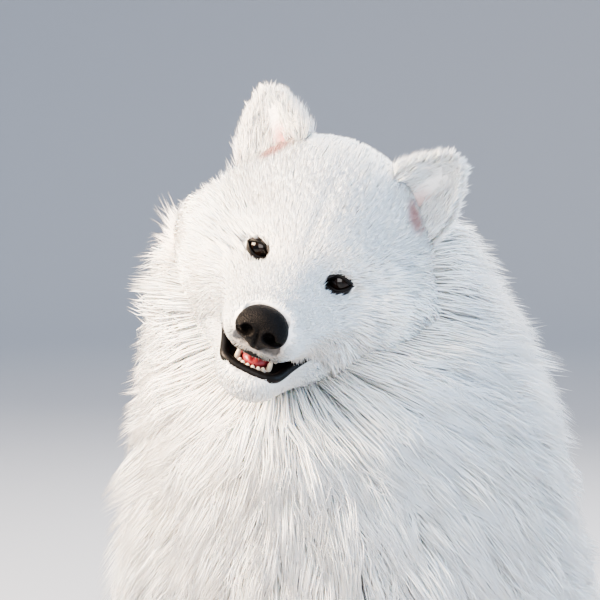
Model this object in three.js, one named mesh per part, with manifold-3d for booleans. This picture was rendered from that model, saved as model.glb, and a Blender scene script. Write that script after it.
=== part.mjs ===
// A life-size sitting samoyed with its head turned and tilted, all lengths in millimetres, +Z up, the dog's body
// facing -Y with its left side towards +X. Each named mesh is one closed solid. A smooth core of flesh and undercoat
// is wrapped round a few bones, and the long coat stands on it as flat, tapered locks that follow the lie of the hair.
import * as THREE from "three";
import { mergeVertices } from "three/addons/utils/BufferGeometryUtils.js";
import Module from "manifold-3d";

const wasm = await Module();
wasm.setup();

// Driving dimensions
const GAP = 0.35; // kept between neighbouring solids
const CORE_SHARE = 0.45; // how far the core rises into the depth of the coat
const BODY_BLEND = 34; // how softly the flesh of two bones runs together
const FACE_BLEND = 16;
const PAW_BLEND = 8;
const HEAD_AT = [38, -135, 730]; // midway between the eyes
const HEAD_YAW = 17.6; // degrees, towards the dog's left
const HEAD_PITCH = 9.7; // degrees, nose down
const HEAD_ROLL = 23.1; // degrees, left ear down
const EYE_RADIUS = 10.5;
const EYE_SPREAD = 32; // from the middle of the face to each eye
const EYE_SET_BACK = 0.6; // of the eye's front behind the face round it
const LID_THICK = 1.9;
const LID_LENGTH = 20; // the open eye from corner to corner
const LID_HEIGHT = 10.5;
const LID_MARGIN = 3.4; // how far the lids reach beyond the opening
const LID_SLANT = 12; // degrees up to the outer corner
const EAR_HALF_WIDTH = 31;
const EAR_CUP = 15; // how deep the ear is hollowed
const LOCK_SIDES = 4;
const LOCK_STEPS = 3;
const LOCK_SINK = 9; // of a lock's root below the core's surface

const v3 = (x, y, z) => new THREE.Vector3(x, y, z);
const rad = THREE.MathUtils.degToRad;
const mix = THREE.MathUtils.lerp;
const clamp = THREE.MathUtils.clamp;
const onBothSides = (make) => [-1, 1].map(make);

// A repeatable random draw
let seed = 28;
function draw(low, high) {
  seed = (seed * 16807) % 2147483647;
  return mix(low, high, seed / 2147483647);
}

// Bones: two ends with their flesh radii, and the depth of the coat over them
const bone = (a, b, ra, rb, coat = 0) =>
  ({ a, b, ra: ra + coat * CORE_SHARE, rb: rb + coat * CORE_SHARE });
// Rounded masses: a centre and three radii
const mass = (x, y, z, rx, ry, rz) => ({ centre: v3(x, y, z), radii: v3(rx, ry, rz) });

const NECK_COAT = 95;
const WITHERS_COAT = 72;
const CHEST_COAT = 78;
const BACK_COAT = 52;
const RUMP_COAT = 58;
const THIGH_COAT = 42;
const TAIL_COAT = 84;
const NECK_TOP = v3(-12, -18, 672);
const NECK_BASE = v3(0, 4, 530);
const WITHERS = v3(0, 56, 566);
const CHEST = v3(0, -8, 455);
const LOIN = v3(0, 112, 335);
const PELVIS = v3(0, 262, 168);
const RUMP = v3(0, 318, 98);
const SHOULDER = v3(62, -40, 436);
const ELBOW = v3(78, -8, 326);
const WRIST = v3(78, -22, 130);
const PASTERN = v3(78, -36, 52);
const FORE_TOES = v3(80, -66, 30);
const HIP = v3(88, 262, 172);
const KNEE = v3(132, 146, 200);
const HOCK = v3(122, 238, 40);
const HIND_TOES = v3(136, 84, 32);
const TAIL_LINE = [v3(0, 350, 172), v3(0, 408, 194), v3(-4, 450, 252), v3(-16, 452, 330),
  v3(-38, 414, 392), v3(-62, 360, 416), v3(-84, 312, 416)];
const onSide = (p, s) => v3(s * p.x, p.y, p.z);

const neckForms = [
  bone(NECK_TOP, NECK_BASE, 64, 100, NECK_COAT),
  bone(NECK_BASE, CHEST, 100, 112, CHEST_COAT),
  bone(WITHERS, v3(0, 120, 400), 92, 106, WITHERS_COAT),
];
const torsoForms = [
  ...neckForms,
  bone(CHEST, LOIN, 112, 118, BACK_COAT),
  bone(LOIN, PELVIS, 118, 106, BACK_COAT),
  bone(PELVIS, RUMP, 106, 78, RUMP_COAT),
  ...onBothSides((s) => bone(onSide(SHOULDER, s), onSide(ELBOW, s), 60, 46, BACK_COAT)),
];
const forelegForms = (s) => [
  bone(onSide(ELBOW, s), onSide(WRIST, s), 44, 31, 16),
  bone(onSide(WRIST, s), onSide(PASTERN, s), 31, 29, 14),
];
const toes = (s, root, spread, length) => [-1.5, -0.5, 0.5, 1.5].map((k) =>
  bone(v3(s * root.x + k * spread, root.y, 26), v3(s * root.x + k * spread * 1.18, root.y - length + Math.abs(k) * 9, 17), 17, 14.5));
const forepawForms = (s) => [
  bone(onSide(PASTERN, s), onSide(FORE_TOES, s), 34, 31),
  ...toes(s, FORE_TOES, 15, 30),
];
const thighForms = (s) => [
  bone(onSide(HIP, s), onSide(KNEE, s), 84, 52, THIGH_COAT),
  bone(onSide(KNEE, s), v3(s * HOCK.x, HOCK.y - 4, HOCK.z + 26), 48, 34, THIGH_COAT * 0.6),
];
const hindpawForms = (s) => [
  bone(onSide(HOCK, s), onSide(HIND_TOES, s), 31, 31),
  ...toes(s, HIND_TOES, 14, 32),
];
const tailForms = TAIL_LINE.slice(1).map((end, i) =>
  bone(TAIL_LINE[i], end, mix(27, 14, i / 6), mix(27, 14, (i + 1) / 6), TAIL_COAT * mix(0.55, 1, i / 5)));

// The head in its own frame: origin midway between the eyes, nose towards -Y
const skullForms = [
  mass(0, 60, 18, 70, 64, 62),
  mass(0, 20, 14, 48, 36, 37),
  ...onBothSides((s) => mass(s * 40, 42, -20, 40, 46, 44)),
  ...onBothSides((s) => mass(s * 29, 12, 18, 19, 17, 11)),
  bone(v3(0, 0, -22), v3(0, -64, -29.5), 34, 21.5),
  ...onBothSides((s) => bone(v3(s * 22, -8, -33), v3(s * 12, -64, -34), 26, 16.5)),
];
const jawForms = [
  bone(v3(0, -54, -73), v3(0, 16, -62), 17, 27),
  ...onBothSides((s) => bone(v3(s * 10, -52, -72), v3(s * 30, 18, -58), 13.5, 26)),
];
const noseForms = [
  mass(0, -80, -24.5, 17.5, 13, 12.5),
  ...onBothSides((s) => mass(s * 9.5, -84, -29.5, 9.5, 9.5, 8.5)),
  mass(0, -81, -36.5, 7.5, 8.5, 8),
];
const tongueForms = [bone(v3(0, -16, -58), v3(0, -40, -62), 9, 7.5)];

// Distance from a point to one form, below nothing inside it
const toEnd = v3(0, 0, 0);
const toPoint = v3(0, 0, 0);
function formDistance(p, form) {
  if (form.centre) {
    toPoint.copy(p).sub(form.centre).divide(form.radii);
    const nearness = toPoint.length();
    const slope = toPoint.divide(form.radii).length();
    return slope < 1e-6 ? -form.radii.x : (nearness * (nearness - 1)) / slope;
  }
  toEnd.copy(form.b).sub(form.a);
  toPoint.copy(p).sub(form.a);
  const t = clamp(toPoint.dot(toEnd) / toEnd.lengthSq(), 0, 1);
  return toPoint.addScaledVector(toEnd, -t).length() - mix(form.ra, form.rb, t);
}

// Distance to all the forms run together softly, as flesh is
function fleshDistance(forms, p, blend) {
  let all = 1e9;
  for (const form of forms) {
    const one = formDistance(p, form);
    const shared = Math.max(blend - Math.abs(all - one), 0) / blend;
    all = Math.min(all, one) - shared * shared * blend * 0.25;
  }
  return all;
}

function fleshNormal(forms, p, blend) {
  const normal = v3(0, 0, 0);
  for (const axis of ["x", "y", "z"]) {
    const beside = p.clone();
    beside[axis] += 1;
    const ahead = fleshDistance(forms, beside, blend);
    beside[axis] -= 2;
    normal[axis] = ahead - fleshDistance(forms, beside, blend);
  }
  return normal.normalize();
}

// A closed solid from a geometry, its faces turned outwards
function solidOf(geometry) {
  const bare = new THREE.BufferGeometry().setAttribute("position", geometry.getAttribute("position"));
  const merged = mergeVertices(bare.setIndex(geometry.index), 1e-3);
  const vertProperties = new Float32Array(merged.attributes.position.array);
  const triVerts = new Uint32Array(merged.index.array);
  const solid = new wasm.Manifold(new wasm.Mesh({ numProp: 3, vertProperties, triVerts }));
  if (solid.volume() > 0) return solid;
  triVerts.reverse();
  return new wasm.Manifold(new wasm.Mesh({ numProp: 3, vertProperties, triVerts }));
}
const largest = (solid) =>
  solid.decompose().reduce((best, piece) => (piece.volume() > best.volume() ? piece : best));
const joined = (solids) => largest(solids.reduce((all, one) => all.add(one)));

// A solid made larger all over by the gap, which cuts its neighbours clear of it
function grown(solid) {
  const mesh = solid.getMesh();
  const at = mesh.vertProperties.slice();
  const push = new Float32Array(at.length);
  const corner = onBothSides(() => v3(0, 0, 0)).concat(v3(0, 0, 0));
  for (let i = 0; i < mesh.triVerts.length; i += 3) {
    const ids = [0, 1, 2].map((k) => mesh.triVerts[i + k]);
    ids.forEach((id, k) => corner[k].fromArray(at, 3 * id));
    const sides = [0, 1, 2].map((k) => corner[(k + 1) % 3].clone().sub(corner[k]));
    const normal = sides[0].clone().cross(sides[1]).normalize();
    ids.forEach((id, k) => {
      const share = sides[k].angleTo(sides[(k + 2) % 3].clone().negate()) || 0;
      for (let j = 0; j < 3; j++) push[3 * id + j] += normal.getComponent(j) * share;
    });
  }
  for (let i = 0; i < at.length; i += 3) {
    const away = v3(push[i], push[i + 1], push[i + 2]).setLength(GAP);
    for (let j = 0; j < 3; j++) at[i + j] += away.getComponent(j);
  }
  return new wasm.Manifold(new wasm.Mesh({ numProp: 3, vertProperties: at, triVerts: mesh.triVerts }));
}
const clearOf = (solid, ...others) =>
  largest(others.reduce((left, other) => left.subtract(grown(other)), solid));

// A line through the body part with frames along it, from which rays are sent out to the flesh
function spine(points) {
  const STEPS = 48;
  const curve = new THREE.CatmullRomCurve3(points);
  const frames = curve.computeFrenetFrames(STEPS, false);
  return (along, around, lean, reach, forms, blend) => {
    const at = Math.round(along * STEPS);
    const ray = frames.normals[at].clone().multiplyScalar(Math.cos(around))
      .addScaledVector(frames.binormals[at], Math.sin(around))
      .multiplyScalar(Math.cos(lean)).addScaledVector(frames.tangents[at], Math.sin(lean));
    const from = curve.getPointAt(at / STEPS);
    const where = (distance) => from.clone().addScaledVector(ray, distance);
    let outside = 0;
    while (outside < reach && fleshDistance(forms, where(outside), blend) < 0) outside += 4;
    let inside = outside - 4;
    for (let k = 0; k < 10; k++) {
      const half = (inside + outside) / 2;
      if (fleshDistance(forms, where(half), blend) > 0) outside = half;
      else inside = half;
    }
    return where(outside);
  };
}

// A skin round some forms: each point of a sphere goes out from the spine until it meets the surface
function wrapped(forms, line, rings, sides, blend = BODY_BLEND) {
  const END_SHARE = 0.24; // of the rings, spent on each rounded end
  const cast = spine(line);
  const geometry = new THREE.SphereGeometry(1, sides, rings);
  const position = geometry.getAttribute("position");
  for (let i = 0; i < position.count; i++) {
    const unit = v3(position.getX(i), position.getY(i), position.getZ(i));
    const share = Math.acos(clamp(unit.y, -1, 1)) / Math.PI;
    const along = clamp((share - END_SHARE) / (1 - 2 * END_SHARE), 0, 1);
    const pastStart = Math.min(share / END_SHARE - 1, 0);
    const pastEnd = Math.max((share - 1) / END_SHARE + 1, 0);
    const at = cast(along, Math.atan2(unit.z, unit.x), rad(90) * (pastStart + pastEnd), 300, forms, blend);
    position.setXYZ(i, at.x, at.y, at.z);
  }
  return solidOf(geometry);
}

// One flat, tapered lock: its root is sunk in the core, and it bends along the surface under its lie
function lock(root, lie, forms, blend, { length, width, thick, lift }) {
  const geometry = new THREE.CylinderGeometry(1, 0, 1, LOCK_SIDES, LOCK_STEPS);
  const path = [];
  const at = root.clone();
  const normal = fleshNormal(forms, at, blend);
  const frame = () => {
    const forward = lie.clone().addScaledVector(normal, -lie.dot(normal)).normalize();
    return { at: at.clone(), normal: normal.clone(), across: forward.clone().cross(normal), forward };
  };
  for (let k = 0; k <= LOCK_STEPS; k++) {
    const share = k / LOCK_STEPS;
    const height = mix(-LOCK_SINK, lift, share ** 0.75);
    if (k) at.addScaledVector(path[k - 1].forward, length / LOCK_STEPS);
    normal.copy(fleshNormal(forms, at, blend));
    at.addScaledVector(normal, height - fleshDistance(forms, at, blend));
    path.push(frame());
  }
  const position = geometry.getAttribute("position");
  const swell = [0.7, 1, 0.72, 0];
  for (let i = 0; i < position.count; i++) {
    const k = Math.round((0.5 - position.getY(i)) * LOCK_STEPS);
    const { at: middle, normal: up, across } = path[k];
    const ring = Math.hypot(position.getX(i), position.getZ(i));
    const x = ring > 1e-6 ? position.getX(i) / ring : 0;
    const z = ring > 1e-6 ? position.getZ(i) / ring : 0;
    const cap = k === 0 && ring < 1e-6 ? 0 : 1;
    const p = middle.clone().addScaledVector(across, x * cap * width * 0.5 * swell[k])
      .addScaledVector(up, z * cap * thick * 0.5 * swell[k]);
    position.setXYZ(i, p.x, p.y, p.z);
  }
  return solidOf(geometry);
}

// Rows of locks over a node, staggered, with a little chance in place and size
function coatOf(forms, line, blend, rows, lieAt) {
  const cast = spine(line);
  const locks = [];
  rows.forEach(({ along, lean = 0, count, from = 0, to = 360, ...size }, row) => {
    const full = to - from >= 360;
    for (let i = 0; i < count; i++) {
      const share = full ? (i + (row % 2) * 0.5) / count : (i + 0.5) / count;
      const around = mix(from, to, share) + draw(-3, 3);
      const root = cast(clamp(along + draw(-0.015, 0.015), 0, 1), rad(around), rad(lean), 300, forms, blend);
      const lie = lieAt(root);
      if (!lie) continue;
      lie.add(v3(draw(-0.12, 0.12), draw(-0.12, 0.12), draw(-0.08, 0.08)));
      locks.push(lock(root, lie, forms, blend, {
        length: size.length * draw(0.9, 1.12),
        width: size.width * draw(0.92, 1.1),
        thick: size.thick,
        lift: size.lift * draw(0.85, 1.12),
      }));
    }
  });
  return locks;
}

const boxAt = (w, d, h, x, y, z) => solidOf(new THREE.BoxGeometry(w, d, h).translate(x, y, z));
const FLOOR = boxAt(2400, 2400, 400, 0, 100, -200);

// Everything on one side of a plane, as a very large box
function halfSpace(through, facing, offset) {
  const turn = new THREE.Quaternion().setFromUnitVectors(v3(0, 0, 1), facing.clone().normalize());
  const matrix = new THREE.Matrix4().makeRotationFromQuaternion(turn)
    .setPosition(through.clone().addScaledVector(facing.clone().normalize(), offset));
  return solidOf(new THREE.BoxGeometry(1600, 1600, 800).translate(0, 0, 400).applyMatrix4(matrix));
}

// The head's place on the body
const headPlace = new THREE.Matrix4().makeRotationFromEuler(
  new THREE.Euler(rad(HEAD_PITCH), rad(HEAD_ROLL), rad(HEAD_YAW), "ZXY")).setPosition(v3(...HEAD_AT));
const placed = (solid) => solid.transform(headPlace.elements);

// Ellipsoids for small hard or hollow things
const ellipsoid = (x, y, z, rx, ry, rz, sides = 14, rings = 10) =>
  solidOf(new THREE.SphereGeometry(1, sides, rings).scale(rx, ry, rz).translate(x, y, z));

// Eyes, set just behind the front of the face, and the lids over them
function faceFront(x, z) {
  let y = -120;
  while (fleshDistance(skullForms, v3(x, y, z), FACE_BLEND) > 0) y += 0.25;
  return y;
}
const EYE_Y = faceFront(EYE_SPREAD, 0) + EYE_RADIUS + EYE_SET_BACK;
const eyeSized = (s, radius) => ellipsoid(s * EYE_SPREAD, EYE_Y, 0, radius, radius, radius, 12, 8);
function almond(s, margin) {
  const half = LID_LENGTH / 2 + margin;
  const outline = new THREE.Shape();
  outline.moveTo(-half, 0);
  outline.quadraticCurveTo(0, -LID_HEIGHT - 2 * margin, half, 0);
  outline.quadraticCurveTo(0, LID_HEIGHT * 1.15 + 2 * margin, -half, 0);
  return solidOf(new THREE.ExtrudeGeometry(outline, { depth: 40, bevelEnabled: false, curveSegments: 5 })
    .rotateX(Math.PI / 2).rotateY(s * rad(-LID_SLANT)).translate(s * EYE_SPREAD, EYE_Y, 0));
}
const lids = (s) => eyeSized(s, EYE_RADIUS + LID_THICK).intersect(almond(s, LID_MARGIN));

// An ear: a thick rounded triangle, hollowed at the front into a cup
function ear(s) {
  const geometry = new THREE.SphereGeometry(1, 14, 12);
  const position = geometry.getAttribute("position");
  const base = v3(s * 47, 64, 36);
  const tip = s < 0 ? v3(-84, 76, 96) : v3(77, 72, 104); // the right ear leans a little further out
  const rise = tip.clone().sub(base).normalize();
  const wide = v3(s * 0.86, 0.4, -0.3);
  wide.addScaledVector(rise, -rise.dot(wide)).normalize();
  const back = rise.clone().cross(wide).multiplyScalar(s);
  const length = tip.distanceTo(base);
  for (let i = 0; i < position.count; i++) {
    const unit = v3(position.getX(i), position.getY(i), position.getZ(i));
    const share = Math.acos(clamp(-unit.y, -1, 1)) / Math.PI;
    const t = 0.5 - 0.5 * Math.cos(share * Math.PI);
    const ring = Math.hypot(unit.x, unit.z);
    const c = ring > 1e-6 ? unit.x / ring : 0;
    const opening = Math.min(1, share * 7);
    const half = EAR_HALF_WIDTH * (1 - t ** 2.6) ** 0.6 * opening;
    const cup = EAR_CUP * (1 - t) ** 0.6;
    const shell = cup + mix(13, 9, t) * Math.min(1, (1 - share) * 6);
    const deep = unit.z > 0 ? shell * (1 - c ** 6) ** 0.5 : cup * (1 - Math.abs(c) ** 3);
    const at = base.clone().addScaledVector(rise, t * length).addScaledVector(wide, half * c)
      .addScaledVector(back, deep * opening - cup * 0.4);
    position.setXYZ(i, at.x, at.y, at.z);
  }
  return solidOf(geometry);
}

// The nose leather, with comma-shaped nostrils and the groove below them
function nose() {
  const leather = wrapped(noseForms, [v3(0, -76, -28.5), v3(0, -84, -29.5)], 10, 12, 6);
  const nostrils = onBothSides((s) => ellipsoid(s * 8.4, -95.5, -29.5, 3.8, 8, 3.5, 8, 6)
    .add(ellipsoid(s * 13.5, -92, -32, 5, 6, 1.7, 8, 6)));
  return largest(leather.subtract(nostrils[0]).subtract(nostrils[1]).subtract(boxAt(1.2, 10, 18, 0, -93.5, -41.5)));
}

// The head is parted along the open mouth, and behind its corners along a slit that runs down to the throat
const aboveTheMouth = [[-130, -49.5], [-13, -46.5], [60, -96], [60, -150], [160, -150], [160, 120], [-130, 120]];
const belowTheMouth = [[-130, -82], [-110, -80], [-60, -66], [-13, -46.5 - 2 * GAP], [59, -96], [59, -150], [-130, -150]];
const parting = (outline) =>
  solidOf(new THREE.ExtrudeGeometry(new THREE.Shape(outline.map(([y, z]) => new THREE.Vector2(y, z))),
    { depth: 400, bevelEnabled: false }).rotateX(Math.PI / 2).rotateZ(Math.PI / 2).translate(-200, 0, 0));
const palate = () => ellipsoid(0, -44, -47, 15, 30, 9);
const mouthFloor = () => ellipsoid(0, -42, -62, 14.5, 27.5, 10);
function lowerTeeth() {
  const ARCH = 10; // radius of the row of teeth
  const ROW_Y = -55;
  const GUM_Z = -71;
  const gum = new THREE.Shape();
  gum.absarc(0, 0, ARCH + 2.4, 0, Math.PI, false);
  gum.absarc(0, 0, ARCH - 2.4, Math.PI, 0, true);
  const parts = [solidOf(new THREE.ExtrudeGeometry(gum, { depth: 7, bevelEnabled: false, curveSegments: 4 })
    .rotateZ(Math.PI).translate(0, ROW_Y, GUM_Z))];
  for (const turn of [-60, -36, -12, 12, 36, 60])
    parts.push(ellipsoid(ARCH * Math.sin(rad(turn)), ROW_Y - ARCH * Math.cos(rad(turn)), GUM_Z + 7.5, 2, 1.6, 3.6, 5, 4));
  for (const s of [-1, 1])
    parts.push(solidOf(new THREE.ConeGeometry(2.6, 12, 6).rotateX(Math.PI / 2 - 0.12)
      .translate(s * (ARCH + 0.2), ROW_Y - 1, GUM_Z + 10)));
  return joined(parts);
}

// Which way the hair lies on each part
const downTheBody = () => v3(0, 0.5, -0.86);
const NECK_CUT = { through: v3(0, 2, 540), facing: NECK_TOP.clone().sub(NECK_BASE) };

const dog = new THREE.Group();
const COAT = { color: 0xf4f1ec, roughness: 0.9, metalness: 0 };
const LEATHER = { color: 0x151314, roughness: 0.45, metalness: 0 };
const EYE = { color: 0x1d120c, roughness: 0.1, metalness: 0 };
const TONGUE = { color: 0xb0464a, roughness: 0.5, metalness: 0 };
const TOOTH = { color: 0xe6dac2, roughness: 0.3, metalness: 0 };
function addMesh(name, solid, look = COAT) {
  const { vertProperties, triVerts } = solid.getMesh();
  const geometry = new THREE.BufferGeometry()
    .setAttribute("position", new THREE.BufferAttribute(vertProperties.slice(), 3))
    .setIndex(new THREE.BufferAttribute(triVerts.slice(), 1));
  const mesh = new THREE.Mesh(geometry, new THREE.MeshStandardMaterial(look));
  mesh.name = name;
  dog.add(mesh);
}

// Head
const SKULL_LINE = [v3(0, 70, 10), v3(0, 20, -6), v3(0, -30, -25), v3(0, -68, -29)];
const skull = wrapped(skullForms, SKULL_LINE, 22, 22, FACE_BLEND);
const noseLocal = nose();
const cheekSize = { length: 80, width: 44, thick: 14, lift: 22 };
const cheekLocks = [];
for (const s of [-1, 1])
  for (const [y, z, out] of [[44, 14, 0.5], [38, -22, 0.45], [30, -54, 0.3], [61, -6, 0.55], [57, -40, 0.35]]) {
    const root = v3(s * 60, y, z);
    for (let k = 0; k < 4; k++)
      root.addScaledVector(fleshNormal(skullForms, root, FACE_BLEND), -fleshDistance(skullForms, root, FACE_BLEND));
    cheekLocks.push(lock(root, v3(s * 0.3, 0.8, -out), skullForms, FACE_BLEND, cheekSize));
  }
const jawWhole = wrapped(jawForms, [v3(0, 12, -62), v3(0, -56, -75)], 12, 12, PAW_BLEND);
const jawLocal = largest(skull.add(jawWhole).intersect(parting(belowTheMouth)).subtract(mouthFloor()));
let headLocal = skull.intersect(parting(aboveTheMouth)).subtract(palate());
headLocal = clearOf(headLocal, noseLocal);
for (const s of [-1, 1])
  headLocal = headLocal.add(lids(s)).subtract(eyeSized(s, EYE_RADIUS + GAP)).subtract(almond(s, 0));
for (const one of cheekLocks) headLocal = headLocal.add(one.intersect(parting(aboveTheMouth)));
headLocal = largest(headLocal);
const earsLocal = onBothSides((s) => clearOf(ear(s), skull, ...cheekLocks));
const teethLocal = clearOf(lowerTeeth(), jawLocal);
const tongueLocal = clearOf(wrapped(tongueForms, [v3(0, -18, -59), v3(0, -38, -62)], 8, 8, PAW_BLEND), jawLocal, headLocal, teethLocal);
const [head, noseSolid, jaw, tongue, teeth] = [headLocal, noseLocal, jawLocal, tongueLocal, teethLocal].map(placed);
const ears = earsLocal.map(placed);

// Each coated part is a list of simple pieces: joined they are the part, and one by one they cut its neighbours clear
const headPieces = [skull, jawWhole, ...cheekLocks].map(placed);

// Neck with its ruff
const headInverse = headPlace.clone().invert();
const fromTheHead = (root) =>
  fleshDistance([...skullForms, ...jawForms], root.clone().applyMatrix4(headInverse), FACE_BLEND) < 14
    ? null : NECK_BASE.clone().sub(NECK_TOP).normalize();
const ruffSize = { width: 74, thick: 18, lift: NECK_COAT * 0.55 };
const neckPieces = [
  wrapped(neckForms, [NECK_TOP, NECK_BASE], 12, 16)
    .subtract(halfSpace(NECK_CUT.through, NECK_CUT.facing.clone().negate(), 0)),
  ...coatOf(torsoForms, [NECK_TOP, NECK_BASE], BODY_BLEND, [
    { along: 0, lean: -55, count: 7, length: 110, ...ruffSize, lift: NECK_COAT * 0.4 },
    { along: 0, lean: -15, count: 10, length: 125, ...ruffSize },
    { along: 0.35, count: 10, length: 135, ...ruffSize },
    { along: 0.85, count: 10, length: 135, ...ruffSize },
  ], fromTheHead),
];
const neck = clearOf(joined(neckPieces), ...headPieces, ...ears);

// Torso
const TORSO_LINE = [NECK_BASE, CHEST, LOIN, PELVIS, RUMP];
const bodySize = { width: 84, thick: 17 };
const torsoPieces = [
  wrapped(torsoForms, TORSO_LINE, 19, 16).subtract(halfSpace(NECK_CUT.through, NECK_CUT.facing, -GAP)),
  ...coatOf(torsoForms, TORSO_LINE, BODY_BLEND, [
    { along: 0.2, count: 10, length: 140, lift: CHEST_COAT * 0.55, ...bodySize },
    { along: 0.36, count: 9, length: 135, lift: CHEST_COAT * 0.5, ...bodySize },
    { along: 0.52, count: 8, length: 130, lift: BACK_COAT * 0.55, ...bodySize },
    { along: 0.68, count: 7, length: 130, lift: BACK_COAT * 0.55, ...bodySize },
    { along: 0.84, count: 6, length: 110, lift: RUMP_COAT * 0.5, ...bodySize },
  ], downTheBody),
];
const torso = clearOf(joined(torsoPieces).subtract(FLOOR), ...neckPieces);

addMesh("head", head);
addMesh("nose", noseSolid, LEATHER);
addMesh("lower_jaw", jaw);
addMesh("tongue", tongue, TONGUE);
addMesh("lower_teeth", teeth, TOOTH);
addMesh("neck", neck);
addMesh("torso", torso);
[-1, 1].forEach((s, i) => {
  const side = s < 0 ? "right" : "left";
  addMesh("eye_" + side, placed(eyeSized(s, EYE_RADIUS)), EYE);
  addMesh("ear_" + side, ears[i]);
});

// Legs
const pawOf = (forms, line) => wrapped(forms, line, 11, 10, PAW_BLEND).subtract(FLOOR);
for (const s of [-1, 1]) {
  const side = s < 0 ? "right" : "left";
  const legLine = [onSide(ELBOW, s), onSide(WRIST, s), onSide(PASTERN, s)];
  const legPieces = [
    wrapped(forelegForms(s), legLine, 10, 10, PAW_BLEND),
    ...coatOf(forelegForms(s), legLine, PAW_BLEND, [
      { along: 0.2, count: 3, from: 30, to: 150, length: 95, width: 38, thick: 12, lift: 26 },
      { along: 0.5, count: 2, from: 40, to: 140, length: 80, width: 34, thick: 12, lift: 22 },
    ], () => v3(0, 0.55, -0.83)),
  ];
  const thighLine = [v3(s * 92, 252, 166), v3(s * 124, 160, 176)];
  const thighPieces = [
    wrapped(thighForms(s), thighLine, 11, 12),
    ...coatOf(thighForms(s), thighLine, BODY_BLEND, [
      { along: 0, lean: -30, count: 5, length: 95, width: 64, thick: 14, lift: THIGH_COAT * 0.55 },
      { along: 0.6, count: 5, length: 90, width: 58, thick: 14, lift: THIGH_COAT * 0.5 },
    ], () => v3(0, 0.7, -0.7)),
  ];
  const forepaw = pawOf(forepawForms(s), [v3(s * 78, -40, 30), v3(s * 80, -80, 22)]);
  const hindpaw = pawOf(hindpawForms(s), [v3(s * 122, 234, 30), v3(s * 134, 84, 26), v3(s * 136, 66, 22)]);
  addMesh("foreleg_" + side, clearOf(joined(legPieces), ...torsoPieces));
  addMesh("forepaw_" + side, clearOf(forepaw, ...legPieces));
  addMesh("thigh_" + side, clearOf(joined(thighPieces).subtract(FLOOR), ...torsoPieces, ...legPieces));
  addMesh("hindpaw_" + side, clearOf(hindpaw, ...thighPieces, ...torsoPieces));
}

// Tail with its plume
const tailCurve = new THREE.CatmullRomCurve3(TAIL_LINE);
function alongTheTail(p) {
  let best = 0;
  for (let t = 0; t <= 1; t += 0.05)
    if (tailCurve.getPoint(t).distanceTo(p) < tailCurve.getPoint(best).distanceTo(p)) best = t;
  return tailCurve.getTangent(best);
}
const tailRows = [0.15, 0.4, 0.65, 0.9].map((along, i) => ({
  along, count: 4, length: mix(105, 125, i / 3), width: 56, thick: 14, lift: TAIL_COAT * mix(0.4, 0.6, i / 3),
}));
const tailPieces = [
  wrapped(tailForms, TAIL_LINE, 15, 9, PAW_BLEND),
  ...coatOf(tailForms, TAIL_LINE, PAW_BLEND, tailRows, alongTheTail),
];
addMesh("tail", clearOf(joined(tailPieces), ...torsoPieces));

// The origin is the middle of the footprint, on the floor
const middle = new THREE.Box3().setFromObject(dog).getCenter(v3(0, 0, 0));
dog.position.set(-middle.x, -middle.y, 0);

export default dog;
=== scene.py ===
"""A life-size sitting samoyed: skin, coat, eyes, nose, mouth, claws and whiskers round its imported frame."""
import math

import bmesh
import bpy
import numpy as np
from mathutils import Matrix, Vector
from mathutils.kdtree import KDTree


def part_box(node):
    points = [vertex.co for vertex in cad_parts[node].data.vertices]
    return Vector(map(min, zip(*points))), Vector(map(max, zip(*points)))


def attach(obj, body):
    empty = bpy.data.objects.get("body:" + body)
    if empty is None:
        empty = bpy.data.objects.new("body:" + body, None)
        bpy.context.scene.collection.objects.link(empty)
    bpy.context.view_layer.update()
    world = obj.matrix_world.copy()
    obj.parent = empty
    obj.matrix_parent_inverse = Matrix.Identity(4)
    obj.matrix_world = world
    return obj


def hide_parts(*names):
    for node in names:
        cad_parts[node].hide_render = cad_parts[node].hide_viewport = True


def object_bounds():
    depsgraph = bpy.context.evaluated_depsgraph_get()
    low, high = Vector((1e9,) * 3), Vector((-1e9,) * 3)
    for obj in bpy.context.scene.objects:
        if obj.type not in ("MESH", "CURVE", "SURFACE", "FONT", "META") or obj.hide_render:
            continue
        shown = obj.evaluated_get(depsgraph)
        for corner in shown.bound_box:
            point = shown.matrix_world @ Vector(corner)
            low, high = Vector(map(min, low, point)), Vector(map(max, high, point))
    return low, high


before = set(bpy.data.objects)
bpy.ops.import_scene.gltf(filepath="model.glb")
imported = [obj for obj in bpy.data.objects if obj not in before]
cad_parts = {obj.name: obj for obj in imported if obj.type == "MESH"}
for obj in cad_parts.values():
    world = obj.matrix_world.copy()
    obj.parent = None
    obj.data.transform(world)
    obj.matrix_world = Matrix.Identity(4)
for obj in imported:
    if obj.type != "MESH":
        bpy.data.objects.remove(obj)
first_bounds = [list(map(float, corner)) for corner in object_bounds()]
chance = np.random.default_rng(11)

# The dog's own measures, in millimetres, in the frame that the solids were drawn in. The head's frame has
# its origin midway between the eyes, its nose towards -Y and its crown towards +Z.
HEAD_AT = np.array([38.0, -135.0, 730.0])
head_turn = np.array(
    Matrix.Rotation(math.radians(17.6), 3, "Z")
    @ Matrix.Rotation(math.radians(9.7), 3, "X")
    @ Matrix.Rotation(math.radians(23.1), 3, "Y")
)
SKIN_SHARE = 0.55  # how far the undercoat fills the depth of the coat
BODY_BLEND, FACE_BLEND, PAW_BLEND, NOSE_BLEND = 34.0, 16.0, 5.0, 6.0
EYE_RADIUS, EYE_SPREAD, LID_SLANT = 10.5, 32.0, math.radians(12)
LID_LENGTH, LID_HEIGHT = 22.4, 11.4
LIP_CORNER, LIP_FRONT, JAW_FRONT = -16, -82, -69  # how far forward the lips start and end
CLAW_RADIUS, WHISKER_RADIUS, TOE_COAT = 2.7, 0.26, 6
FLOOR_RADIUS, FLOOR_BEND, WALL_HEIGHT = 5, 3, 8  # metres
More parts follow.
